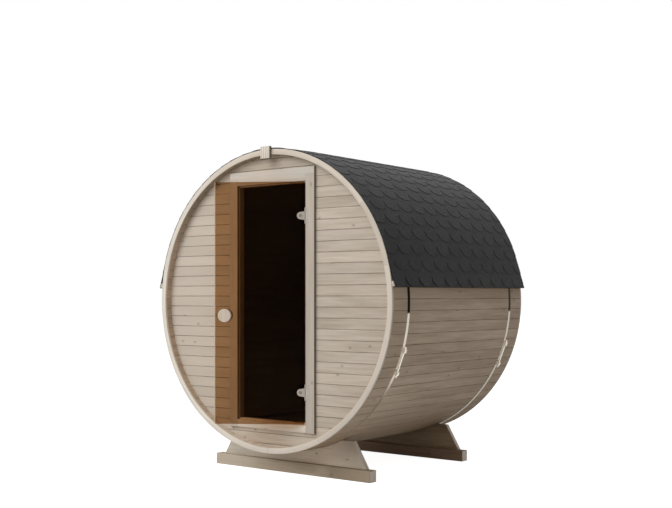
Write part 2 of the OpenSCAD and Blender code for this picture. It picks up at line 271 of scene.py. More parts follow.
def stave_painted_shade_and_light(wire):
    """The staves painted browner low down and under the eave as painted shade, and browner at the front.

    On the barrel's inner side they get painted shade under the crown and painted light at the foot.
    """
    _, y, up, radius = about_axis(wire)
    # low and under_eave are painted shade, and the front band is only browner
    low = 1.0 - up.between(-0.97 * OUTER_R, -0.66 * OUTER_R)
    under_eave = up.between(EAVE_Z - AXIS_Z - 0.16, EAVE_Z - AXIS_Z - 0.02) * 0.45
    front = (1.0 - y.between(ring_low.y + 0.14, ring_low.y + 0.19)) * 0.25
    outside = radius.between(INNER_R + 0.004, INNER_R + 0.02)
    crown = (1.0 - outside) * up.between(*CROWN_RISE)
    pale, brown = (0.74, 0.66, 0.56, 1), (0.33, 0.23, 0.145, 1)
    tone = wire.mixed(outside, wire.mixed(crown, pale, CROWN_SHADE_TONE), brown)
    share = wire.sum("MAXIMUM", low, wire.sum("MAXIMUM", under_eave, front) * outside)
    return wire.sum("MAXIMUM", share, crown * CROWN_SHADE_SHARE), tone


# Ways the grain lies: along, across and into the board, the board's number and the way to its joint

def along_barrel(wire):
    """Along a stave of the barrel."""
    x, y, up, radius = about_axis(wire)
    turn = wire.sum("ARCTAN2", x, up)
    number = wire.sum("ROUND", turn / STAVE_TURN)
    across = (turn - number * STAVE_TURN) * OUTER_R
    return y, across, radius, number, OUTER_R * STAVE_TURN / 2 - wire.sum("ABSOLUTE", across)


def along_wall(wire):
    """Across the end wall, board over board, with other boards in front than behind."""
    x, y, z = place(wire)
    row = (z - AXIS_Z) / BOARD_PITCH + 0.5
    number = wire.sum("FLOOR", row)
    across = (row - number - 0.5) * BOARD_PITCH
    joint = BOARD_PITCH / 2 - wire.sum("ABSOLUTE", across)
    return x, across, y, number + wire.sum("SIGN", y) * 57.0, joint


def along_ring(wire):
    """Round the end ring, piece after piece."""
    x, y, up, radius = about_axis(wire)
    turn = wire.sum("ARCTAN2", x, up)
    number = wire.sum("FLOOR", turn * (RING_PIECES / (2 * math.pi))) + wire.sum("SIGN", y) * 31.0
    return turn * OUTER_R, radius, y, number, None


def upright(wire):
    """Up a post, a block or a knob."""
    x, y, z = place(wire)
    return z, x, y, wire.sum("SIGN", x) * 3.0 + 11.0, None


def crosswise(wire):
    """Along a beam, a saddle, the header or the sill."""
    x, y, z = place(wire)
    return x, z, y, wire.sum("SIGN", y) * 5.0 + wire.sum("FLOOR", z * 5.0) * 3.0, None


def lengthwise(wire):
    """Along a floor board, a bearer or a batten."""
    x, y, z = place(wire)
    return y, x, z, wire.sum("FLOOR", x / FLOOR_PITCH), None


# How far apart in the wood one board is cut from the next, across and along
BOARD_ACROSS, BOARD_ALONG = 7.31, 2.17
# Cells to the metre that may hold a knot, and the width of a year's growth
KNOT_CELLS = 10.0
YEAR_RING = 0.007
GRAIN_RELIEF = 0.0005
# Painted shade of the timber inside the cabin
INDOOR_SHADE = (0.10, 0.066, 0.038, 1)


def timber(name, pale, dark, lay, knots=0.3, flank=None, painted_light_and_tone=None):
    """Planed softwood: rings, fibres, streaks, knots and dark joints, each board from its own stretch."""
    material, wire = finish(name)
    along, across, depth, number, joint = lay(wire)
    u = across + number * BOARD_ACROSS
    v = along + number * BOARD_ALONG
    knot = wire.add("ShaderNodeTexVoronoi", {"voronoi_dimensions": "2D"},
                    {"Vector": wire.vector(u, v * 0.6, 0.0), "Scale": KNOT_CELLS})
    off = knot / KNOT_CELLS
    chosen = wire.sum("GREATER_THAN", knot.output("Color").parts()[0], 1.0 - knots)
    heart = (1.0 - off.between(0.0015, 0.0045)) * chosen
    halo = (1.0 - off.between(0.003, 0.014)) * chosen
    warp = wire.noise(u * 6.0, v * 0.8, depth * 6.0, 1.0) * 0.03 + halo * 0.006
    rings = wire.sum("SINE", (u + depth * 0.7 + warp) * (2 * math.pi / YEAR_RING)) * 0.5 + 0.5
    fibre = wire.noise(u * 480.0, v * 9.0, depth * 480.0, 3.0)
    streak = wire.noise(u * 60.0, v * 3.5, depth * 60.0, 2.0)
    cloud = wire.noise(u * 12.0, v * 1.6, depth * 12.0, 2.0)
    worn = 0.5 + (rings - 0.5) * 0.25 + (fibre - 0.5) * 0.6 + (streak - 0.5) * 1.3 + (cloud - 0.5) * 1.3
    colour = wire.mixed(wire.add("ShaderNodeClamp", sockets={0: worn}), (*pale, 1), (*dark, 1))
    colour = wire.scaled(colour, 1.0 + (wire.chance(number) - 0.5) * 0.15)
    # Painted light and shade, and tones by place, laid over the grain
    if painted_light_and_tone is not None:
        share, tone = painted_light_and_tone(wire)
        colour = wire.mixed(share, colour, wire.scaled(tone, 0.8 + streak * 0.4))
    stain = (*(level * 0.35 for level in dark), 1)
    colour = wire.mixed(halo * 0.3 + heart * 0.45, colour, stain)
    if joint is not None:
        gap = 1.0 - joint.between(0.0008, 0.0044)
        broken = wire.noise(along * 7.0, number * 3.7, depth * 0.5, 2.0).between(0.3, 0.65) * 0.5 + 0.1
        colour = wire.mixed(gap * broken, colour, stain)
        # Painted shade on the timber inside the cabin
        colour = wire.mixed(indoors(wire) * 0.8, colour, INDOOR_SHADE)
    # Flank faces take the flank colour: painted shade on the keystones, posts and header, and on the
    # cradle pale sawn end grain with painted light in it
    if flank is not None:
        colour = wire.mixed(wire.attribute("flank"), colour, wire.scaled(flank, 0.85 + streak * 0.3))
    height = fibre * 0.6 + rings * 0.25 - heart * 0.4
    roughness = 0.72 + (fibre - 0.5) * 0.3
    shown(wire, coat(wire, {"Specular IOR Level": 0.18}, colour, roughness, height, GRAIN_RELIEF))
    return material


def shingle():
    """Mineral-faced bitumen: dark granules, tabs lighter and darker, and patchy painted shade under the
    laps.
    """
    material, wire = finish("shingle")
    x, y, z = place(wire)
    grit = wire.noise(x * 700.0, y * 700.0, z * 700.0, 2.0)
    speckle = wire.noise(x * 60.0, y * 60.0, z * 60.0, 3.0)
    cloud = wire.noise(x * 7.0, y * 7.0, z * 7.0, 3.0)
    # Painted shade just below the laps of the course above, in patches
    below = wire.attribute("tab_down") + EXPOSURE + (wire.attribute("tab_along") + 0.5).tab_rise()
    lap = (1.0 - below.between(0.0, 0.024)) * cloud.between(0.35, 0.6) * 0.4
    level = 0.84 + wire.attribute("tab_tone") * 0.32 + (grit - 0.5) * 1.3 + (speckle - 0.5) * 1.2
    bitumen = (0.0205, 0.0202, 0.0202)
    colour = wire.scaled(bitumen, (level + (cloud - 0.5) * 0.6) * (1.0 - lap))
    constants = {"Specular IOR Level": 0.12, "Sheen Weight": 0.19, "Sheen Roughness": 0.4}
    grit_relief = 0.0012
    shown(wire, coat(wire, constants, colour, 0.66 + (grit - 0.5) * 0.3, grit, grit_relief))
    return material


METAL_RELIEF = 0.0002


def hoop_steel():
    """Steel strip: dark as it leaves the roof, bright below, and darkened by painted shade under the
    front hoop's lugs.
    """
    material, wire = finish("hoop_steel")
    x, y, z = place(wire)
    bright = 1.0 - z.between(AXIS_Z - 0.078, AXIS_Z - 0.066)
    rear = y.between(-0.01, 0.01)
    # Painted shade on the front hoop below its lugs
    dull = (1.0 - rear) * (1.0 - z.between(AXIS_Z - 0.66, AXIS_Z - 0.47))
    brushed = wire.noise(x * 40.0, y * 900.0, z * 40.0, 2.0)
    dark = wire.mixed(rear, (0.008, 0.006, 0.004, 1), (0.09, 0.075, 0.06, 1))
    colour = wire.mixed(rear, (0.88, 0.81, 0.70, 1), (0.72, 0.665, 0.585, 1))
    colour = wire.mixed(dull * 0.92, colour, (0.36, 0.28, 0.20, 1))
    colour = wire.scaled(wire.mixed(bright, dark, colour), 0.92 + brushed * 0.16)
    roughness = 0.6 - bright * 0.15 + (brushed - 0.5) * 0.16
    shown(wire, coat(wire, {"Specular IOR Level": 0.02}, colour, roughness, brushed, METAL_RELIEF,
                     Metallic=bright * (1.0 - dull) * 0.42))
    return material


def mottled_metal(name, tone, roughness, grain, metallic):
    """Plated or satin metal with a faint mottle, grain being its swells to the metre along x, y and z."""
    material, wire = finish(name)
    x, y, z = place(wire)
    mottle = wire.noise(x * grain[0], y * grain[1], z * grain[2], 2.0)
    colour = wire.scaled(tone, 0.8 + mottle * 0.4)
    shown(wire, coat(wire, {}, colour, roughness + (mottle - 0.5) * 0.25, mottle, METAL_RELIEF,
                     Metallic=metallic + (mottle - 0.5) * 0.2))
    return material


def bronze_glass():
    """Clear bronze glass with faint wipe marks, and a ground edge painted pale, partly its matt finish
    and partly a painted highlight where it catches the light.
    """
    material, wire = finish("bronze_glass")
    x, y, z = place(wire)
    wipe = wire.noise(x * 9.0 + z * 5.0, y * 9.0, z * 14.0, 3.0)
    colour = wire.mixed(wipe.between(0.3, 0.7), (0.45, 0.278, 0.15, 1), (0.47, 0.292, 0.16, 1))
    pane = coat(wire, {"Transmission Weight": 1.0, "IOR": 1.07}, colour, wipe.between(0.55, 0.85) * 0.02)
    reach = (x - HINGE.x) * LEAF_ALONG.x + (y - HINGE.y) * LEAF_ALONG.y
    # The free edge is painted pale: a matt ground finish with a painted highlight
    at_edge = reach.between(LEAF_REACH - 0.0046, LEAF_REACH - 0.0038)
    ground = wire.mixed(wipe, (0.72, 0.55, 0.37, 1), (0.68, 0.51, 0.33, 1))
    edge = coat(wire, {}, ground, 0.6)
    shown(wire, wire.add("ShaderNodeMixShader", sockets={0: at_edge * 0.75, 1: pane, 2: edge}))
    return material


# The staves carry painted shade low down, under the eave and inside under the crown, and painted light at
# their inner foot
STAVE_WOOD = timber("stave_wood", (0.64, 0.51, 0.39), (0.42, 0.32, 0.23), along_barrel, knots=0.15,
                    painted_light_and_tone=stave_painted_shade_and_light)
# The end walls carry painted light on their left
WALL_WOOD = timber("wall_wood", (0.625, 0.545, 0.455), (0.445, 0.375, 0.295), along_wall, knots=0.2,
                   painted_light_and_tone=wall_painted_light)
# The rings carry painted light on the left and low, and painted shade inside under the crown
RING_WOOD = timber("ring_wood", (0.70, 0.625, 0.535), (0.58, 0.505, 0.415), along_ring, knots=0.0,
                   painted_light_and_tone=ring_painted_light_and_shade)
# The keystones, posts and header take dark flank colours as painted shade on their sides and undersides
KEY_WOOD = timber("key_wood", (0.76, 0.69, 0.61), (0.67, 0.60, 0.52), upright, knots=0.0,
                  flank=(0.20, 0.165, 0.115))
POST_WOOD = timber("post_wood", (0.56, 0.49, 0.42), (0.46, 0.39, 0.325), upright, knots=0.1,
                   flank=(0.22, 0.185, 0.13))
HEADER_WOOD = timber("header_wood", (0.60, 0.55, 0.485), (0.50, 0.45, 0.39), crosswise, knots=0.1,
                     flank=(0.22, 0.185, 0.13))
SILL_WOOD = timber("sill_wood", (0.77, 0.69, 0.60), (0.64, 0.56, 0.465), crosswise, knots=0.1)
BEAM_WOOD = timber("beam_wood", (0.60, 0.49, 0.37), (0.32, 0.245, 0.17), crosswise,
                   flank=(0.72, 0.63, 0.54), painted_light_and_tone=beam_end_tones)
# The rear beam is a darker copy of the beam wood, as painted shade under the barrel; its pale flank is
# sawn end grain with painted light in it
SHADED_REAR_BEAM_WOOD = timber("rear_beam_wood_painted_shade", (0.33, 0.22, 0.145), (0.20, 0.125, 0.078), crosswise,
                        flank=(0.90, 0.82, 0.73))
# The front saddle is a lighter copy, with painted light towards the right where the barrel's shadow falls
SADDLE_WOOD = timber("saddle_wood", (0.69, 0.635, 0.54), (0.52, 0.465, 0.375), crosswise,
                     flank=(0.66, 0.59, 0.50), painted_light_and_tone=saddle_painted_light)
# The rear saddle is a darker copy of the saddle wood, as painted shade under the barrel; its pale flank
# is sawn end grain with painted light in it
SHADED_REAR_SADDLE_WOOD = timber("rear_saddle_wood_painted_shade", (0.44, 0.33, 0.215), (0.26, 0.182, 0.11), crosswise,
                          flank=(0.88, 0.79, 0.70))
# The floor and bearers inside are painted near black as painted shade of the closed cabin
SHADED_FLOOR_WOOD = timber("floor_wood_painted_shade", (0.07, 0.049, 0.031), (0.045, 0.031, 0.019), lengthwise)
BATTEN_WOOD = timber("batten_wood", (0.68, 0.61, 0.51), (0.55, 0.48, 0.38), lengthwise, knots=0.05)
KNOB_WOOD = timber("knob_wood", (0.74, 0.63, 0.52), (0.62, 0.51, 0.41), upright, knots=0.0)
SHINGLE = shingle()
HOOP_STEEL = hoop_steel()
ZINC = mottled_metal("zinc", (0.92, 0.86, 0.76), 0.5, (160.0, 160.0, 160.0), 0.5)
CLAMP_METAL = mottled_metal("clamp_metal", (0.365, 0.325, 0.275), 0.45, (60.0, 60.0, 1200.0), 0.4)
PLATE_METAL = mottled_metal("plate_metal", (0.50, 0.455, 0.40), 0.5, (60.0, 60.0, 1200.0), 0.3)
SCREW_METAL = mottled_metal("screw_metal", (0.19, 0.175, 0.15), 0.45, (300.0, 300.0, 300.0), 0.6)
BRONZE_GLASS = bronze_glass()


# Making pieces

# Points of a solid, of a grown shape and of a sheet that lie this close are one
SOLID_DOUBLES = 1e-5
GROWN_DOUBLES = 2e-5
SHEET_DOUBLES = 1e-6
# A turn under FLAT is no edge, and one over SHARP is an edge to ease
FLAT = math.radians(0.4)
SHARP = math.radians(30)
# Faces under this many square metres, such as eased edges and flutes, don't count as facing aside
SMALL_FACE = 5e-4


def new_piece(name, mesh):
    piece = bpy.data.objects.new(name, mesh)
    bpy.context.scene.collection.objects.link(piece)
    return piece


def cleaned(mesh, merge):
    """Merges a mesh's doubles and turns its faces outwards."""
    shape = bmesh.new()
    shape.from_mesh(mesh)
    bmesh.ops.remove_doubles(shape, verts=shape.verts, dist=merge)
    bmesh.ops.dissolve_degenerate(shape, edges=shape.edges, dist=SHEET_DOUBLES)
    bmesh.ops.recalc_face_normals(shape, faces=shape.faces)
    shape.to_mesh(mesh)
    shape.free()


def settled(piece):
    """Works the piece's modifiers into its mesh."""
    graph = bpy.context.evaluated_depsgraph_get()
    mesh = bpy.data.meshes.new_from_object(piece.evaluated_get(graph), depsgraph=graph)
    piece.modifiers.clear()
    piece.data = mesh
    return mesh


def handed_over(piece, body, slot, *nodes):
    """Gives a piece its body and the solids that it stands for. The slot is not used."""
    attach(piece, body)
    if nodes:
        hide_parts(*nodes)


def eased(name, node, width, material, slot, body="cabin", flat=False, shaded=math.inf):
    """A copy of a solid with its sharp edges eased.

    Its faces to the side, underneath or further back than shaded are marked as flanks.
    """
    mesh = bpy.data.meshes.new(name)
    shape = bmesh.new()
    shape.from_mesh(frame["nodes"][node].data)
    bmesh.ops.remove_doubles(shape, verts=shape.verts, dist=SOLID_DOUBLES)
    bmesh.ops.dissolve_limit(shape, angle_limit=FLAT, verts=shape.verts, edges=shape.edges)
    shape.to_mesh(mesh)
    shape.free()
    mesh.materials.append(material)
    mesh.shade_smooth()
    piece = new_piece(name, mesh)
    bevel = piece.modifiers.new("eased", "BEVEL")
    bevel.width = width
    bevel.segments = 2
    bevel.limit_method = "ANGLE"
    bevel.angle_limit = SHARP
    bevel.harden_normals = True
    mesh = settled(piece)
    if flat:
        mesh.shade_flat()
    flank = mesh.attributes.new("flank", "FLOAT", "FACE")
    for face in mesh.polygons:
        aside = (abs(face.normal.x) > 0.5 or face.normal.z < -0.5) and face.area > SMALL_FACE
        flank.data[face.index].value = float(aside or face.center.y > shaded)
    handed_over(piece, body, slot, node)


def kept(node, material):
    """A solid whose shape is right, in a better finish."""
    data = frame["nodes"][node].data
    data.materials.clear()
    data.materials.append(material)


class Rule(Wire):
    """A geometry tree with named sizes, grown into a plain mesh."""

    def __init__(self, name, sizes):
        tree = bpy.data.node_groups.new(name, "GeometryNodeTree")
        super().__init__(tree)
        self.name, self.sizes = name, sizes
        for label, value in sizes.items():
            kind = "NodeSocketInt" if isinstance(value, int) else "NodeSocketFloat"
            tree.interface.new_socket(label, in_out="INPUT", socket_type=kind).default_value = value
        tree.interface.new_socket("Shape", in_out="OUTPUT", socket_type="NodeSocketGeometry")
        self.inputs = tree.nodes.new("NodeGroupInput")

    def size(self, label):
        return Wire(self.tree, self.inputs.outputs[label])

    def here(self):
        return self.add("GeometryNodeInputPosition").parts()

    def moved(self, shape, x, y, z):
        return self.add("GeometryNodeSetPosition", sockets={
            "Geometry": shape, "Position": self.vector(x, y, z)})

    def set_at(self, shape, x, y, z, turned=(0, 0, 0)):
        return self.add("GeometryNodeTransform", sockets={
            "Geometry": shape, "Translation": self.vector(x, y, z), "Rotation": turned})

    def joined(self, *shapes):
        return self.add("GeometryNodeJoinGeometry", sockets={0: list(shapes)})

    def realized(self, shape):
        return self.add("GeometryNodeRealizeInstances", sockets={"Geometry": shape})

    def repeated(self, shape, points, **turn):
        return self.add("GeometryNodeInstanceOnPoints", sockets={
            "Points": points, "Instance": shape, **turn})

    def facing(self, shape, places):
        """The shape at each place, turned the way that the place faces."""
        shapes = []
        for spot, way in places:
            point = self.add("GeometryNodeMeshLine", {"mode": "OFFSET"}, {
                "Count": 1, "Start Location": spot})
            turned = tuple(way.to_track_quat("Z", "Y").to_euler())
            shapes.append(self.repeated(shape, point, Rotation=turned))
        return self.joined(*shapes)

    def noted(self, shape, label, value, domain):
        """The shape with a value stored on its points or faces."""
        return self.add("GeometryNodeStoreNamedAttribute", {"data_type": "FLOAT", "domain": domain},
                        {"Geometry": shape, "Name": label, "Value": value})

    def cut(self, operation, **shapes):
        """A boolean of closed shapes."""
        return self.add("GeometryNodeMeshBoolean", {"operation": operation, "solver": "EXACT"},
                        {label.replace("_", " "): value for label, value in shapes.items()})

    def thick(self, sheet, offset):
        """A flat sheet made a closed slab."""
        top = self.add("GeometryNodeExtrudeMesh", {"mode": "FACES"},
                       {"Mesh": sheet, "Offset": self.vector(0.0, 0.0, 1.0), "Offset Scale": offset,
                        "Individual": False})
        under = self.add("GeometryNodeFlipFaces", sockets={"Mesh": sheet})
        return self.add("GeometryNodeMergeByDistance",
                        sockets={"Geometry": self.joined(top, under), "Distance": SHEET_DOUBLES})

    def grown(self, shape, material, smooth):
        """The rule's result as a piece, smooth up to an angle in degrees."""
        whole = self.add("GeometryNodeSetMaterial",
                         sockets={"Geometry": self.realized(shape), "Material": material})
        self.add("NodeGroupOutput", sockets={"Shape": whole})
        piece = new_piece(self.name, bpy.data.meshes.new(self.name))
        modifier = piece.modifiers.new("rule", "NODES")
        modifier.node_group = self.tree
        for item in self.tree.interface.items_tree:
            if item.in_out == "INPUT":
                modifier[item.identifier] = self.sizes[item.name]
        mesh = settled(piece)
        cleaned(mesh, GROWN_DOUBLES)
        mesh.shade_smooth()
        mesh.set_sharp_from_angle(angle=math.radians(smooth))
        return piece


# End walls: rows of boards, cut to the round and round the doorway

def wall_boards(name, face_y, doorway_half=0.0, doorway_low=0.0, doorway_high=0.0):
    """Boards across the round, tongued into each other, with a doorway where it has a width."""
    rule = Rule(name, {
        "radius": INNER_R, "thickness": WALL_THICKNESS, "pitch": BOARD_PITCH, "joint": 0.0008,
        "arris": 0.0024, "tongue": 0.4, "inset": 0.0006, "face": face_y, "axis": AXIS_Z,
        "rows": 2 * math.ceil(INNER_R / BOARD_PITCH) + 1,
        "doorway_half": doorway_half, "doorway_low": doorway_low, "doorway_high": doorway_high})
    radius, thickness, pitch = rule.size("radius"), rule.size("thickness"), rule.size("pitch")
    axis, middle = rule.size("axis"), rule.size("face") + thickness / 2
    section = rule.add("GeometryNodeCurvePrimitiveQuadrilateral", sockets={
        "Width": thickness - rule.size("inset"), "Height": pitch - rule.size("joint")})
    section = rule.add("GeometryNodeFilletCurve", {"mode": "POLY"}, {
        "Curve": section, "Radius": rule.size("arris"), "Count": 1})
    line = rule.add("GeometryNodeCurvePrimitiveLine", sockets={
        "Start": rule.vector(-1.1 * radius, 0.0, 0.0), "End": rule.vector(1.1 * radius, 0.0, 0.0)})
    board = rule.add("GeometryNodeCurveToMesh", sockets={
        "Curve": line, "Profile Curve": section, "Fill Caps": True})
    lowest = axis - (rule.size("rows") - 1) / 2 * pitch
    places = rule.add("GeometryNodeMeshLine", {"mode": "OFFSET"}, {
        "Count": rule.size("rows"), "Start Location": rule.vector(0.0, middle, lowest),
        "Offset": rule.vector(0.0, 0.0, pitch)})
    boards = rule.realized(rule.repeated(board, places))
    tongues = rule.add("GeometryNodeMeshCube", sockets={
        "Size": rule.vector(radius * 2.1, thickness * rule.size("tongue"), radius * 2.1)})
    boards = rule.cut("UNION", Mesh_2=[boards, rule.set_at(tongues, 0.0, middle, axis)])
    disc = rule.add("GeometryNodeMeshCylinder", {"fill_type": "NGON"}, {
        "Vertices": 256, "Radius": radius, "Depth": thickness})
    disc = rule.set_at(disc, 0.0, middle, axis, (math.pi / 2, 0, 0))
    wall = rule.cut("INTERSECT", Mesh_2=[boards, disc])
    if doorway_half:
        low, high = rule.size("doorway_low"), rule.size("doorway_high")
        doorway = rule.add("GeometryNodeMeshCube", sockets={
            "Size": rule.vector(rule.size("doorway_half") * 2, thickness * 4, high - low)})
        doorway = rule.set_at(doorway, 0.0, middle, (low + high) / 2)
        wall = rule.cut("DIFFERENCE", Mesh_1=wall, Mesh_2=doorway)
    return rule.grown(wall, WALL_WOOD, smooth=25)


front_boards = wall_boards("front_wall_boards", front_wall_low.y, -front_wall_high.x,
                           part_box("front_wall_under_door")[1].z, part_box("front_wall_over_door")[0].z)
handed_over(front_boards, "cabin", "wall_wood",
            "front_wall_left", "front_wall_right", "front_wall_over_door", "front_wall_under_door")
handed_over(wall_boards("rear_wall_boards", wall_low.y), "cabin", "wall_wood", "rear_wall")


# Roof: courses of round-ended tabs laid from the eave up to the ridge, and caps along the ridge

# A course is FELT thick and its foot stands LIFT off the deck
# The roof's front edge is DRESSED lower than the rest, from DRESSED_BACK behind it
LIFT = 0.0046
FELT = 0.0028
DRESSED = 0.005
DRESSED_BACK = 0.2
# The roof leaves the round in a straight line at this angle over the axis
KICK = math.radians(16.5)
# Ways down from the ridge to that line, and to the eave
KICK_DOWN = ROOF_R * (math.pi / 2 - KICK)
EAVE_DOWN = KICK_DOWN + (ROOF_R * math.sin(KICK) - EAVE_Z + AXIS_Z) / math.cos(KICK)
# Keeps points off the ridge line itself, where a side has no sign
RIDGE_GAP = 1e-5


def on_roof(rule, shape):
    """Lays a flat sheet (along the roof, down from the ridge, up) on the round and out over the eave."""
    x, y, z = rule.here()
    radius = ROOF_R - (LIFT + FELT) - (1.0 - x.between(0.0, DRESSED_BACK)) * DRESSED
    down = rule.sum("ABSOLUTE", y)
    side = rule.sum("SIGN", y)
    turn = rule.sum("MINIMUM", down, KICK_DOWN) / ROOF_R
    run = rule.sum("MAXIMUM", down - KICK_DOWN, 0.0)
    sine, cosine = rule.sum("SINE", turn), rule.sum("COSINE", turn)
    return rule.moved(shape, side * ((z + radius) * sine + run * cosine), x + roof_low.y,
                      (z + radius) * cosine - run * sine + AXIS_Z)


def roof_cover(name, side, node):
    """One side of the roof: the courses, the deck under them and a starter strip along the eave."""
    tabs, points_to_tab, ridge_room = 12, 16, 0.01
    courses = math.floor((EAVE_DOWN - TAB_ROUND - ridge_room) / EXPOSURE) + 1
    rule = Rule(name, {
        "eave": EAVE_DOWN, "length": ROOF_LENGTH, "side": float(side), "tab": TAB, "tabs": tabs,
        "courses": courses, "first": -0.022, "exposure": EXPOSURE, "reach": 0.19, "felt": FELT,
        "lift": LIFT, "deck": 0.002})
    tab, exposure, reach = rule.size("tab"), rule.size("exposure"), rule.size("reach")
    eave, length, deck = rule.size("eave"), rule.size("length"), rule.size("deck")
    lift, felt = rule.size("lift"), rule.size("felt")

    # A strip of tabs, laid once for each course and shifted half a tab on every other one
    grid = rule.add("GeometryNodeMeshGrid", sockets={
        "Size X": tab * rule.size("tabs"), "Size Y": 1.0,
        "Vertices X": points_to_tab * tabs + 1, "Vertices Y": 4})
    x, y, _ = rule.here()
    x = x + tab * rule.size("tabs") / 2
    down = (y + 0.5) * (reach - (x / tab).tab_rise()) - reach
    strip = rule.thick(rule.moved(grid, x, down, lift * (down / reach + 1.0)), felt)
    order = rule.add("GeometryNodeInputIndex")
    points = rule.add("GeometryNodeMeshLine", {"mode": "OFFSET"}, {"Count": rule.size("courses")})
    points = rule.noted(points, "course", order, "POINT")
    odd = rule.sum("FLOORED_MODULO", order, 2.0)
    points = rule.moved(points, rule.size("first") - odd * tab / 2, eave - order * exposure, 0.0)
    cover = rule.realized(rule.repeated(strip, points))

    # The tabs' tones, and the strips trimmed to the roof's ends and at the ridge
    x, y, z = rule.here()
    course = rule.add("GeometryNodeInputNamedAttribute", sockets={"Name": "course"})
    shift = rule.size("first") - rule.sum("FLOORED_MODULO", course, 2.0) * tab / 2
    foot = eave - course * exposure
    label = rule.sum("ROUND", course * 41.0 + rule.sum("FLOOR", (x - shift) / tab))
    tone = rule.add("FunctionNodeRandomValue", {"data_type": "FLOAT"},
                    {"ID": label, "Seed": 11 + side}, out=1)
    cover = rule.noted(cover, "tab_tone", tone, "FACE")
    share = (y - foot + reach) / (reach - ((x - shift) / tab).tab_rise())
    level = z - lift * ((y - foot) / reach + 1.0)
    x = rule.sum("MINIMUM", rule.sum("MAXIMUM", x, 0.0), length)
    along = (x - shift) / tab
    y = rule.sum("MAXIMUM", foot - reach + share * (reach - along.tab_rise()), 0.0)
    cover = rule.noted(rule.noted(cover, "tab_along", along, "POINT"), "tab_down", y - foot, "POINT")
    cover = rule.moved(cover, x, y, level + lift * ((y - foot) / reach + 1.0))

    # The deck and the starter strip
    board = rule.add("GeometryNodeMeshGrid", sockets={
        "Size X": length, "Size Y": eave, "Vertices X": 2, "Vertices Y": 90})
    x, y, _ = rule.here()
    board = rule.thick(rule.moved(board, x + length / 2, y + eave / 2, -deck), deck)
    starter = rule.add("GeometryNodeMeshGrid", sockets={
        "Size X": length, "Size Y": reach, "Vertices X": 2, "Vertices Y": 12})
    x, y, _ = rule.here()
    slope = lift * (y / reach + 0.5)
    starter = rule.moved(starter, x + length / 2, y + eave - reach / 2, slope - felt / 2)
    starter = rule.thick(starter, felt)

    cover = rule.joined(cover, board, starter)
    x, y, z = rule.here()
    cover = rule.moved(cover, x, (y + RIDGE_GAP) * rule.size("side"), z)
    handed_over(rule.grown(on_roof(rule, cover), SHINGLE, smooth=25), "cabin", "roof_felt", node)


def ridge_caps():
    """Caps bent over the ridge, each lapping over the one in front of it."""
    rule = Rule("ridge_caps", {
        "length": ROOF_LENGTH, "caps": 12, "width": 0.24, "lap": 0.03, "felt": FELT, "lift": 0.0032,
        "bed": LIFT * 0.6})
    step = rule.size("length") / rule.size("caps")
    long = step + rule.size("lap")
    cap = rule.add("GeometryNodeMeshGrid", sockets={
        "Size X": long, "Size Y": rule.size("width"), "Vertices X": 3, "Vertices Y": 25})
    x, y, _ = rule.here()
    cap = rule.moved(cap, x + long / 2, y, rule.size("lift") * (0.5 - x / long) + rule.size("bed"))
    cap = rule.thick(cap, rule.size("felt"))
    order = rule.add("GeometryNodeInputIndex")
    points = rule.add("GeometryNodeMeshLine", {"mode": "OFFSET"}, {"Count": rule.size("caps")})
    tone = rule.add("FunctionNodeRandomValue", {"data_type": "FLOAT"}, {"ID": order, "Seed": 5}, out=1)
    points = rule.noted(rule.moved(points, order * step, 0.0, 0.0), "tab_tone", tone, "POINT")
    cover = rule.realized(rule.repeated(cap, points))
    x, y, z = rule.here()
    cover = rule.moved(cover, rule.sum("MINIMUM", x, rule.size("length")), y + RIDGE_GAP, z)
    handed_over(rule.grown(on_roof(rule, cover), SHINGLE, smooth=25), "cabin", "roof_felt")


roof_cover("roof_shingles_right", 1, "roof_right")
roof_cover("roof_shingles_left", -1, "roof_left")
ridge_caps()


# Covers and screws of the glass clamps, and the screws of the plates on the post

# From the hinge line along the glass to a clamp's middle, and out from there to its cover and its screw
CLAMP_ALONG = 0.031
COVER_OUT = 0.0029
CLAMP_SCREW_OUT = 0.0043
# From a plate's right edge in to its screws, from the hinge line back to them, and their steps up it
PLATE_SCREW_IN = 0.0065
PLATE_SCREW_BACK = 0.0019
PLATE_SCREW_STEPS = (-0.043, -0.027, 0.027, 0.043)


def clamp_covers(name, places, radius, thickness, reach, half):
    """Flat covers on the clamps: round towards the glass, and wider towards the hinge line."""
    rule = Rule(name, {
        "radius": radius, "thickness": thickness, "reach": reach, "half": half, "heel": 0.002})
    thickness = rule.size("thickness")
    disc = rule.add("GeometryNodeMeshCylinder", {"fill_type": "NGON"}, {
        "Vertices": 48, "Radius": rule.size("radius"), "Depth": thickness})
    heel = rule.add("GeometryNodeMeshCube", sockets={
        "Size": rule.vector(rule.size("heel"), rule.size("half") * 2, thickness)})
    heel = rule.set_at(heel, rule.size("reach"), 0.0, 0.0)
    cover = rule.add("GeometryNodeConvexHull", sockets={"Geometry": rule.joined(disc, heel)})
    covers = rule.grown(rule.facing(cover, places), CLAMP_METAL, smooth=35)
    handed_over(covers, "door", "hinge_metal")


def screws(name, places, head, height, socket, body):
    """Round screw heads with a hexagon socket, at places with the way they face."""
    rule = Rule(name, {"head": head, "height": height, "socket": socket, "sunk": 0.45})
    height = rule.size("height")
    heads = rule.add("GeometryNodeMeshCylinder", {"fill_type": "NGON"}, {
        "Vertices": 20, "Radius": rule.size("head"), "Depth": height})
    hole = rule.add("GeometryNodeMeshCylinder", {"fill_type": "NGON"}, {
        "Vertices": 6, "Radius": rule.size("socket"), "Depth": height})
    hole = rule.set_at(hole, 0.0, 0.0, height * rule.size("sunk"))
    screw = rule.cut("DIFFERENCE", Mesh_1=heads, Mesh_2=hole)
    handed_over(rule.grown(rule.facing(screw, places), SCREW_METAL, smooth=35), body, "hinge_metal")


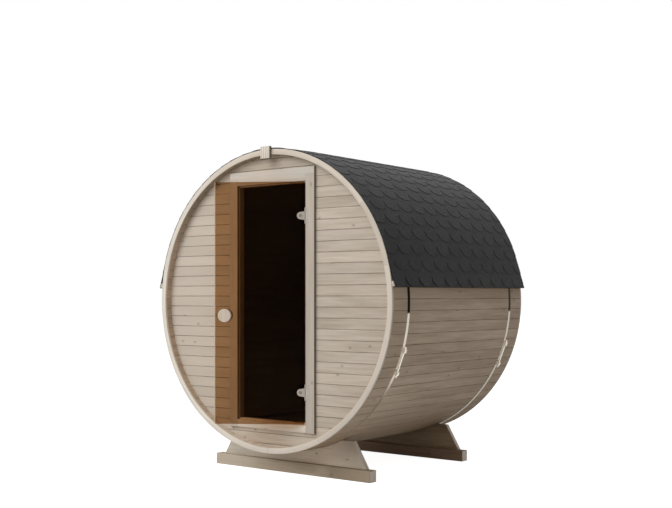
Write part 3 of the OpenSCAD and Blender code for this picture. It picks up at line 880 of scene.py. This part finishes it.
cover_places, clamp_places, plate_places = [], [], []
for hinge in ("upper_hinge", "lower_hinge"):
    leaf_low, leaf_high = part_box(f"{hinge}_leaf")
    screw_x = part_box(f"{hinge}_bracket")[1].x - PLATE_SCREW_IN
    middle = (leaf_low.z + leaf_high.z) / 2
    clamp = HINGE + LEAF_ALONG * CLAMP_ALONG
    clamp.z = middle
    cover_places.append((clamp + LEAF_OUT * COVER_OUT, LEAF_OUT))
    clamp_places.append((clamp + LEAF_OUT * CLAMP_SCREW_OUT, LEAF_OUT))
    for step in PLATE_SCREW_STEPS:
        spot = Vector((screw_x, HINGE.y + PLATE_SCREW_BACK, middle + step))
        plate_places.append((spot, Vector((0, -1, 0))))
clamp_covers("clamp_covers", cover_places, radius=0.0236, thickness=0.0016, reach=0.025, half=0.028)
screws("clamp_screws", clamp_places, head=0.011, height=0.003, socket=0.006, body="door")
screws("plate_screws", plate_places, head=0.0036, height=0.0016, socket=0.0018, body="cabin")


# Timber and glass with eased edges

BEAM_EDGE = 0.003
BOARD_EDGE = 0.002
SMALL_EDGE = 0.0015
GLASS_EDGE = 0.0008
# The posts' faces from here back lie in the shade of the doorway, painted in the flank colour as painted
# shade
DOORWAY_SHADE = front_wall_low.y - 0.015

eased("front_beam_eased", "front_cradle_beam", BEAM_EDGE, BEAM_WOOD, "stave_wood")
eased("rear_beam_eased", "rear_cradle_beam", BEAM_EDGE, SHADED_REAR_BEAM_WOOD, "stave_wood")
for end in ("front", "rear"):
    eased(f"{end}_ring_left_eased", f"{end}_ring_left", BEAM_EDGE, RING_WOOD, "pale_wood")
    eased(f"{end}_ring_right_eased", f"{end}_ring_right", BEAM_EDGE, RING_WOOD, "pale_wood")
    eased(f"{end}_keystone_eased", f"{end}_keystone", SMALL_EDGE, KEY_WOOD, "pale_wood")
eased("front_saddle_eased", "front_cradle_saddle", BOARD_EDGE, SADDLE_WOOD, "stave_wood")
eased("rear_saddle_eased", "rear_cradle_saddle", BOARD_EDGE, SHADED_REAR_SADDLE_WOOD, "stave_wood")
for side in ("left", "right"):
    eased(f"door_post_{side}_eased", f"door_post_{side}", BOARD_EDGE, POST_WOOD, "wall_wood",
          shaded=DOORWAY_SHADE)
    eased(f"eave_batten_{side}_eased", f"eave_batten_{side}", SMALL_EDGE, BATTEN_WOOD, "pale_wood")
eased("door_header_eased", "door_header", BOARD_EDGE, HEADER_WOOD, "wall_wood")
eased("door_sill_eased", "door_sill", BOARD_EDGE, SILL_WOOD, "wall_wood")
eased("floor_boards_eased", "floor_boards", BOARD_EDGE, SHADED_FLOOR_WOOD, "stave_wood")
eased("door_glass_eased", "door_glass", GLASS_EDGE, BRONZE_GLASS, "bronze_glass", "door", flat=True)

# Solids that keep their own shape
for hour in range(1, 13):
    kept(f"staves_{hour}_oclock", STAVE_WOOD)
for end in ("front", "rear"):
    kept(f"{end}_hoop", HOOP_STEEL)
    kept(f"{end}_hoop_tensioner", ZINC)
for hinge in ("upper_hinge", "lower_hinge"):
    kept(f"{hinge}_bracket", PLATE_METAL)
    kept(f"{hinge}_leaf", CLAMP_METAL)
kept("floor_bearers", SHADED_FLOOR_WOOD)
kept("door_knobs", KNOB_WOOD)


# Stage: white floor and background, a soft box to the front left, and the camera

FLOOR_GLOW = 0.93
SKY_LIGHT = 0.34
WHITE = (1, 1, 1, 1)


def seen(wire):
    """1 for what the camera sees, by itself, in a gloss or through the glass."""
    rays = wire.add("ShaderNodeLightPath")
    mirrored = wire.sum("MAXIMUM", rays.output("Is Glossy Ray"), rays.output("Is Transmission Ray"))
    return wire.sum("MAXIMUM", rays.output("Is Camera Ray"), mirrored)


def stage_floor():
    """A wide matt floor that glows white where it is seen, so that shadows on it stay faint."""
    material, wire = finish("studio_floor")
    cloud = wire.add("ShaderNodeTexNoise", sockets={"Scale": 0.3})
    colour = wire.mixed(cloud, (0.74, 0.74, 0.74, 1), (0.76, 0.76, 0.76, 1))
    matt = wire.add("ShaderNodeBsdfDiffuse", sockets={"Color": colour})
    glow = wire.add("ShaderNodeEmission", sockets={"Color": WHITE, "Strength": seen(wire) * FLOOR_GLOW})
    shown(wire, wire.add("ShaderNodeAddShader", sockets={0: matt, 1: glow}))
    mesh = bpy.data.meshes.new("studio_floor")
    far = 60.0
    corners = [(-far, -far, 0), (far, -far, 0), (far, far, 0), (-far, far, 0)]
    mesh.from_pydata(corners, [], [(0, 1, 2, 3)])
    mesh.materials.append(material)
    new_piece("studio_floor", mesh)


def stage_light():
    """A sky that is white where it is seen and lights softly, and a large soft box."""
    world = bpy.data.worlds.new("studio")
    bpy.context.scene.world = world
    world.use_nodes = True
    world.node_tree.nodes.clear()
    wire = Wire(world.node_tree)
    white = seen(wire)
    sky = wire.add("ShaderNodeBackground", sockets={
        "Color": WHITE, "Strength": white + (1.0 - white) * SKY_LIGHT})
    wire.add("ShaderNodeOutputWorld", sockets={"Surface": sky})
    toward, away = Vector((0.22, 0.82, -0.53)).normalized(), 18.0
    lamp = bpy.data.lights.new("soft_box", "AREA")
    lamp.size = 14.0
    lamp.energy = 2100.0
    soft_box = bpy.data.objects.new("soft_box", lamp)
    soft_box.location = Vector((0, 0, AXIS_Z)) - toward * away
    soft_box.rotation_euler = toward.to_track_quat("-Z", "Y").to_euler()
    bpy.context.scene.collection.objects.link(soft_box)


def stage_camera():
    """The camera as fitted to the photograph, with its shift in pixels of a picture that wide."""
    picture_width, shift = 672, 42.316
    lens = bpy.data.cameras.new("camera")
    lens.sensor_fit = "HORIZONTAL"
    lens.sensor_width = 36.0
    lens.lens = 57.305
    lens.shift_y = shift / picture_width
    camera = bpy.data.objects.new("camera", lens)
    camera.location = (4.769, -6.1085, 1.217)
    camera.rotation_euler = (math.pi / 2, 0, math.radians(37.693))
    bpy.context.scene.collection.objects.link(camera)
    bpy.context.scene.camera = camera


stage_floor()
stage_light()
stage_camera()
bpy.context.scene.view_settings.view_transform = "Standard"

bpy.context.view_layer.update()
